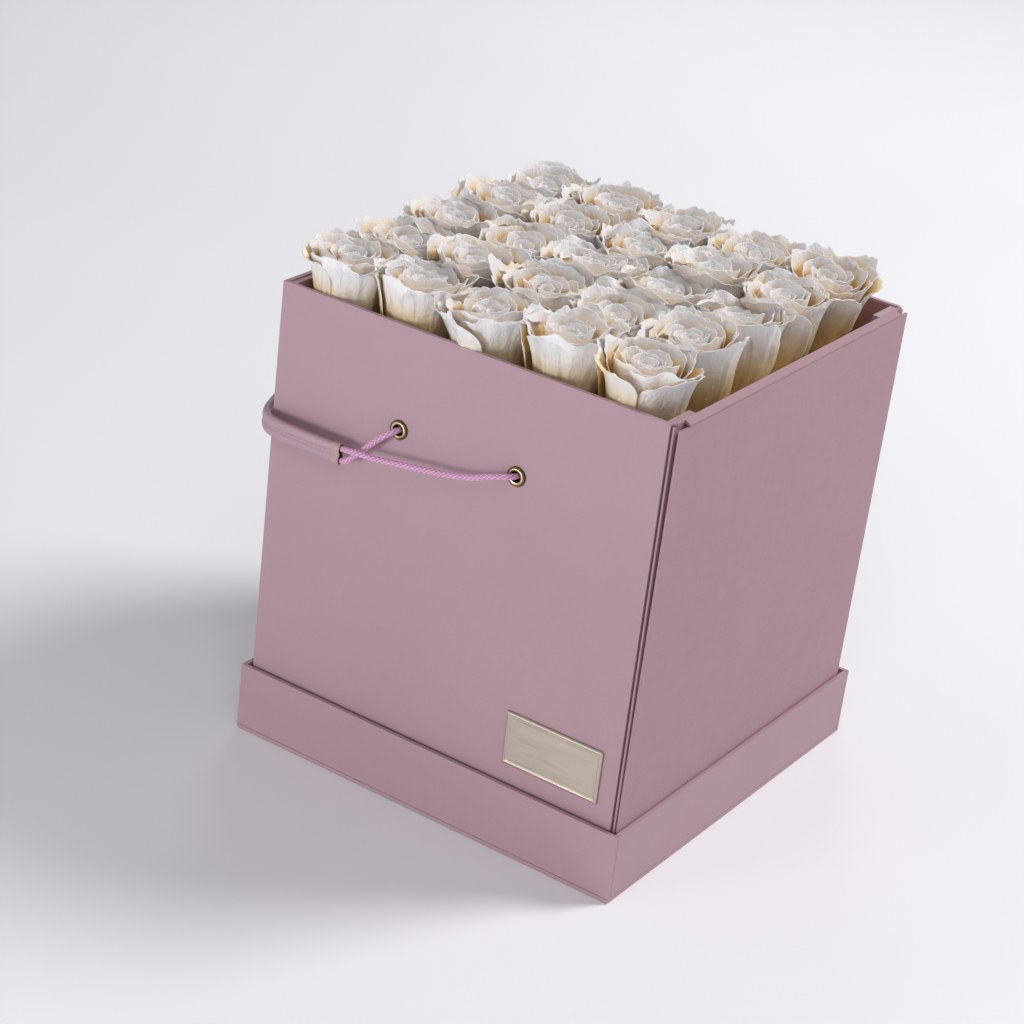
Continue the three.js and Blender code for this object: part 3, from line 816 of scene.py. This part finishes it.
def add_nameplate():
    """A bare plate: a bevelled rim, a narrow raised border and a flat field inside it."""
    low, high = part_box("nameplate")
    x, z = (low.x + high.x) / 2, (low.z + high.z) / 2
    half_x, half_z = (high.x - low.x) / 2, (high.z - low.z) / 2
    levels = [  # inset from the plate's edge and height above its back, in millimetres
        (0.0, 0.0), (0.0, 0.62), (0.12, 0.86), (0.75, 1.34), (1.0, 1.4), (1.5, 1.4), (1.75, 1.3),
        (1.95, 1.02), (2.2, 0.96), (3.1, 0.96), (3.25, 1.08), (3.45, 1.08), (3.6, 0.96), (6.0, 0.96),
    ]
    points = []
    for inset, height in levels:
        wide, tall = half_x - inset * MM, half_z - inset * MM
        for sx, sz in SQUARE:
            points.append((x + sx * wide, high.y - height * MM, z + sz * tall))
    faces = grid_faces(len(levels), 4, closed=True)
    faces.append(tuple(range(len(points) - 4, len(points))))
    faces.append((3, 2, 1, 0))
    plate = new_piece(
        "nameplate_bordered", points, faces, "gold_metal", "box", smooth=False
    )
    round_edges(plate, 0.06 * MM)
    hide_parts("nameplate")


# ---- Roses -----------------------------------------------------------------------------------

ROSE_HEAD = 56 * MM
ROSE_GROWTH = 1.1  # the petals against the CAD's cup, which is the plain outline of their belly
PETALS_IN_A_ROSE = 18
HEART_PETALS = 9
PETAL_ROWS = 16
PETAL_COLUMNS = 31
PETAL_THICK = 0.3 * MM
PETAL_OPENS = 0.58  # of the way up, where it starts to bend outwards
PETAL_CURLS = 0.45  # of the way from there to the lip, where it starts to roll down
GOLDEN_ANGLE = 2.39996
ROSE_LEAN = 0.1
FIRST_ROSE_SEED = 4100


def rose_petal(shape, index, height, radius):
    """One petal as a grid of points in the rose's own space, and how deep each of them lies."""
    age = index / (PETALS_IN_A_ROSE - 1)  # 0 at the heart, 1 outside
    turn = index * GOLDEN_ANGLE + shape.uniform(-0.3, 0.3)
    outer = max(0.0, index - HEART_PETALS) / (PETALS_IN_A_ROSE - 1 - HEART_PETALS)
    if index < HEART_PETALS:
        reach = 0.09 + 0.50 * (index / HEART_PETALS) ** 0.9
    else:
        reach = 0.70 + 0.23 * outer
    belly = radius * reach * shape.uniform(0.96, 1.03)
    flare = radius * (0.03 + 0.08 * age + 0.20 * outer**0.8) * shape.uniform(0.7, 1.3)
    half_arc = math.radians(124 - 62 * age**0.6) * shape.uniform(0.92, 1.1)
    dip = 6.5 * MM * (1 - age) ** 1.2 + 1.5 * MM * outer**4
    top = height - dip + 2.0 * MM * age - shape.uniform(0, 2.6) * MM * (0.3 + age)
    foot = height * (0.5 * (1 - age) + 0.02)
    curl = (0.4 + 4.0 * age**2) * MM * shape.uniform(0.5, 1.3)
    tip = shape.uniform(0.4, 2.6) * MM * age
    lean = shape.uniform(-0.4, 0.4)  # where the tip stands across the petal
    seed = shape.uniform(0, 100)
    sway = (0.4 + 1.7 * age) * MM  # broad waves along the lip
    crumple = (0.08 + 2.0 * age**1.8) * MM  # small folds near it
    crease = (0.1 + 1.5 * age**1.5) * MM  # upright folds all the way down
    points = np.zeros((PETAL_ROWS, PETAL_COLUMNS, 3))
    depth = np.zeros((PETAL_ROWS, PETAL_COLUMNS))
    for row in range(PETAL_ROWS):
        v = 1 - (1 - row / (PETAL_ROWS - 1)) ** 1.5
        for column in range(PETAL_COLUMNS):
            u = column / (PETAL_COLUMNS - 1) * 2 - 1
            share = v * (1 - 0.3 * abs(u) ** 3.8)
            angle = turn + u * half_arc * (0.55 + 0.45 * min(1, v * 1.7))
            swell = math.sin(min(1, share * 1.12) * math.pi / 2) ** 0.42
            open_out = max(0.0, share - PETAL_OPENS) / (1 - PETAL_OPENS)
            edge = open_out**1.3
            wave = noise.noise(Vector((u * 2.2 + seed, v * 1.4, seed))) * 1.9
            fold = noise.noise(Vector((u * 8.0 + seed, v * 3.4 + 7, seed)))
            frill = noise.noise(Vector((u * 17.0 + seed, v * 6.0, seed + 31)))
            pleat = noise.noise(Vector((u * 9.0 + seed, v * 1.1, seed + 60)))
            out = belly * (0.24 + 0.76 * swell) + flare * open_out**1.7
            out += 0.07 * radius * u * (0.3 + age)  # one side tucks under its neighbour
            out += wave * sway * (0.2 + edge) + pleat * crease + (fold + 0.7 * frill) * crumple * edge
            z = foot + (top - foot) * share + tip * math.exp(-(((u - lean) / 0.2) ** 2)) * edge
            rise = noise.noise(Vector((u * 3.4 + seed, 11.0, seed))) * 1.8
            z += rise * sway * edge + (fold + 0.9 * frill) * crumple * edge
            rolled = max(0.0, open_out - PETAL_CURLS) ** 2 * 3.3
            z -= curl * rolled * (0.7 + 1.2 * abs(u - lean))
            points[row, column] = (out * math.cos(angle), out * math.sin(angle), z)
            depth[row, column] = (top - z) / height
    return points, depth


def add_rose(name, number):
    """A rose over its CAD cup. Its number seeds its petals, so each rose is its own."""
    low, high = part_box(name)
    axis = Vector(((low.x + high.x) / 2, (low.y + high.y) / 2, 0))
    shape = random.Random(FIRST_ROSE_SEED + number)
    radius = (high.x - low.x) / 2 * ROSE_GROWTH * shape.uniform(0.97, 1.03)
    base = high.z - ROSE_HEAD
    spin = shape.uniform(0, 2 * math.pi)
    lean = Matrix.Rotation(shape.uniform(-ROSE_LEAN, ROSE_LEAN), 3, "X")
    lean = lean @ Matrix.Rotation(shape.uniform(-ROSE_LEAN, ROSE_LEAN), 3, "Y")
    facing = np.array(lean @ Matrix.Rotation(spin, 3, "Z"))
    pivot = np.array((0, 0, 0.5 * ROSE_HEAD))
    place = np.array((axis.x, axis.y, base))
    points = []
    faces = []
    inside = []
    outside = []
    for index in range(PETALS_IN_A_ROSE):
        grid, depth = rose_petal(shape, index, ROSE_HEAD, radius)
        faces.extend(grid_faces(PETAL_ROWS, PETAL_COLUMNS, len(points)))
        points.extend((grid.reshape(-1, 3) - pivot) @ facing.T + pivot + place)
        age = index / (PETALS_IN_A_ROSE - 1)
        # How much painted amber shade each point gets, on the inner and the outer face of its petal,
        # from how deep it lies below the lip.
        inside.append(depth.ravel() * 6.6 - 0.24)
        outside.append(depth.ravel() * (5.0 - 3.5 * age**0.7) - 0.06)
    rose = new_piece(name + "_petals", points, faces, "petals", "box")
    rose.data.materials.append(MATERIALS["petals_inside"])
    set_attribute(rose, "inside_painted_shade", np.clip(np.concatenate(inside), 0, 1))
    set_attribute(rose, "outside_painted_shade", np.clip(np.concatenate(outside), 0, 1))
    thickness = rose.modifiers.new("thickness", "SOLIDIFY")
    thickness.thickness = PETAL_THICK
    thickness.offset = 0
    thickness.material_offset = 1
    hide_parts(name)
    add_stem(name, axis, low.z, base)


def add_stem(name, axis, bottom, top):
    """The stem in the foam, with the green cup of the sepals under the petals."""
    around = 10
    stations = [  # radius in millimetres, and share of the way from the stem's foot to the head
        (2.0, 0), (2.2, 0.5), (2.1, 0.9), (3.4, 0.97), (7.5, 1.05), (9.0, 1.25), (8.0, 1.42),
    ]
    points = []
    for radius, share in stations:
        for turn in full_turn(around):
            points.append((
                axis.x + radius * MM * math.cos(turn),
                axis.y + radius * MM * math.sin(turn),
                bottom + (top - bottom) * share,
            ))
    faces = grid_faces(len(stations), around, closed=True)
    faces.append(tuple(reversed(range(around))))
    new_piece(name + "_stem", points, faces, "stem", "box")


def add_roses():
    """A rose for each rose of the frame, in the order of their names."""
    names = sorted(n for n in NODES if n.startswith("rose_"))
    for number, name in enumerate(names):
        add_rose(name, number)


# ---- Boards ----------------------------------------------------------------------------------

FINISHES = {
    "leather_cloth": (
        "tray_floor", "tray_rim_front", "tray_rim_back", "tray_rim_left", "tray_rim_right",
        "wall_front", "wall_back", "wall_left", "ear_left_front", "ear_left_back",
        "ear_right_front", "ear_right_back",
    ),
    "lined_cloth": ("wall_right", "lid_panel", "lid_spine"),
    "grey_board": ("box_base", "platform", "riser"),
    "foam": ("foam_block",),
}


LARGEST_BEVEL = 1.8 * MM
BEVEL_SHARE = 0.2  # of the board's thickness
EAR_BEVEL_SHARE = 0.34


def finish_boards():
    """Gives each board its cloth and softens its edges."""
    for finish, names in FINISHES.items():
        for name in names:
            board = NODES[name]
            board.data.materials.clear()
            board.data.materials.append(MATERIALS[finish])
            thin = min(board.dimensions)
            share = EAR_BEVEL_SHARE if name.startswith("ear_") else BEVEL_SHARE
            round_edges(board, min(LARGEST_BEVEL, share * thin), 3)


LINING_GAP = 0.12 * MM  # from the wall
LINING_THICK = 0.35 * MM


def add_linings():
    """The lining inside the front and back walls, down to the roses' foam."""
    foam_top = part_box("foam_block")[1].z
    for name, inner, direction in (
        ("wall_front", FRONT_HIGH.y, 1),
        ("wall_back", BACK_LOW.y, -1),
    ):
        low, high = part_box(name)
        y0 = inner + direction * LINING_GAP
        y1 = y0 + direction * LINING_THICK
        xs = (low.x + 4 * MM, high.x - 1 * MM)
        zs = (foam_top, high.z - 1.2 * MM)
        near = (xs[0], min(y0, y1), zs[0])
        far = (xs[1], max(y0, y1), zs[1])
        add_sheet_box(f"lining_{name[5:]}", near, far)


def add_sheet_box(name, low, high):
    """A thin box between two corners, covered in lining."""
    corners = [(x, y, z) for z in (low[2], high[2]) for x, y in (
        (low[0], low[1]), (high[0], low[1]), (high[0], high[1]), (low[0], high[1]))]
    faces = [(3, 2, 1, 0), (4, 5, 6, 7), (0, 1, 5, 4), (1, 2, 6, 5), (2, 3, 7, 6), (3, 0, 4, 7)]
    sheet = new_piece(name, corners, faces, "lining", "box", smooth=False)
    round_edges(sheet, 0.1 * MM)


# ---- Stage -----------------------------------------------------------------------------------


FLOOR_HALF = 12.0
FLOOR_DROP = 0.2 * MM  # under the tray, so that the two faces don't meet
WORLD_STRENGTH = 0.30
KEY_COLOUR = (1.0, 0.99, 0.97)
BOX_AIM = (0, 0, 0.1)


def add_stage():
    """A wide pale floor and an even pale sky."""
    floor_mesh = bpy.data.meshes.new("floor")
    corners = [(x * FLOOR_HALF, y * FLOOR_HALF, 0) for x, y in SQUARE]
    floor_mesh.from_pydata(corners, [], [(0, 1, 2, 3)])
    paint = Paint("floor", roughness=0.8, Specular_IOR_Level=0.2)
    shade = [(0.3, linear(245, 245, 250)), (0.7, linear(248, 248, 252))]
    paint.colour(paint.ramp(paint.noise(2.0, 1), shade))
    floor_mesh.materials.append(paint.material)
    floor = bpy.data.objects.new("floor", floor_mesh)
    floor.location.z = -FLOOR_DROP
    bpy.context.scene.collection.objects.link(floor)

    world = bpy.data.worlds.new("studio")
    world.use_nodes = True
    background = world.node_tree.nodes["Background"]
    background.inputs["Color"].default_value = (*linear(240, 242, 248), 1)
    background.inputs["Strength"].default_value = WORLD_STRENGTH
    bpy.context.scene.world = world


def add_lights():
    """The key lamp from behind on the right, and five weak ones that open its shadows."""
    add_area_light("key", (1.55, 1.7, 2.5), BOX_AIM, 1.2, 70, KEY_COLOUR)
    add_area_light("low_front_fill", (-0.45, -1.45, 0.1), (-0.03, -0.1, 0.2), 0.6, 11)
    add_area_light("left_fill", (-1.5, -0.5, 0.9), BOX_AIM, 1.0, 1.2)
    add_area_light("back_wash", (-0.9, 2.6, 1.7), (-0.6, 2.0, 0), 1.6, 4)
    add_area_light("top_front", (0.75, -1.1, 1.5), (0, 0, 0.25), 0.9, 6)
    add_area_light("edge_light", (-1.1, 1.8, 1.15), (0, 0, 0.28), 0.7, 4.2)


# ---- Assembly --------------------------------------------------------------------------------

add_camera()
add_cords()
add_sleeve()
for knot in ("knot_front_left", "knot_front_right", "knot_back_left", "knot_back_right"):
    add_knot(knot)
for eyelet in ("eyelet_front_left", "eyelet_front_right", "eyelet_back_left", "eyelet_back_right"):
    add_eyelet(eyelet)
add_nameplate()
add_roses()
finish_boards()
add_linings()
add_stage()
add_lights()
bpy.context.scene.view_settings.view_transform = "Standard"
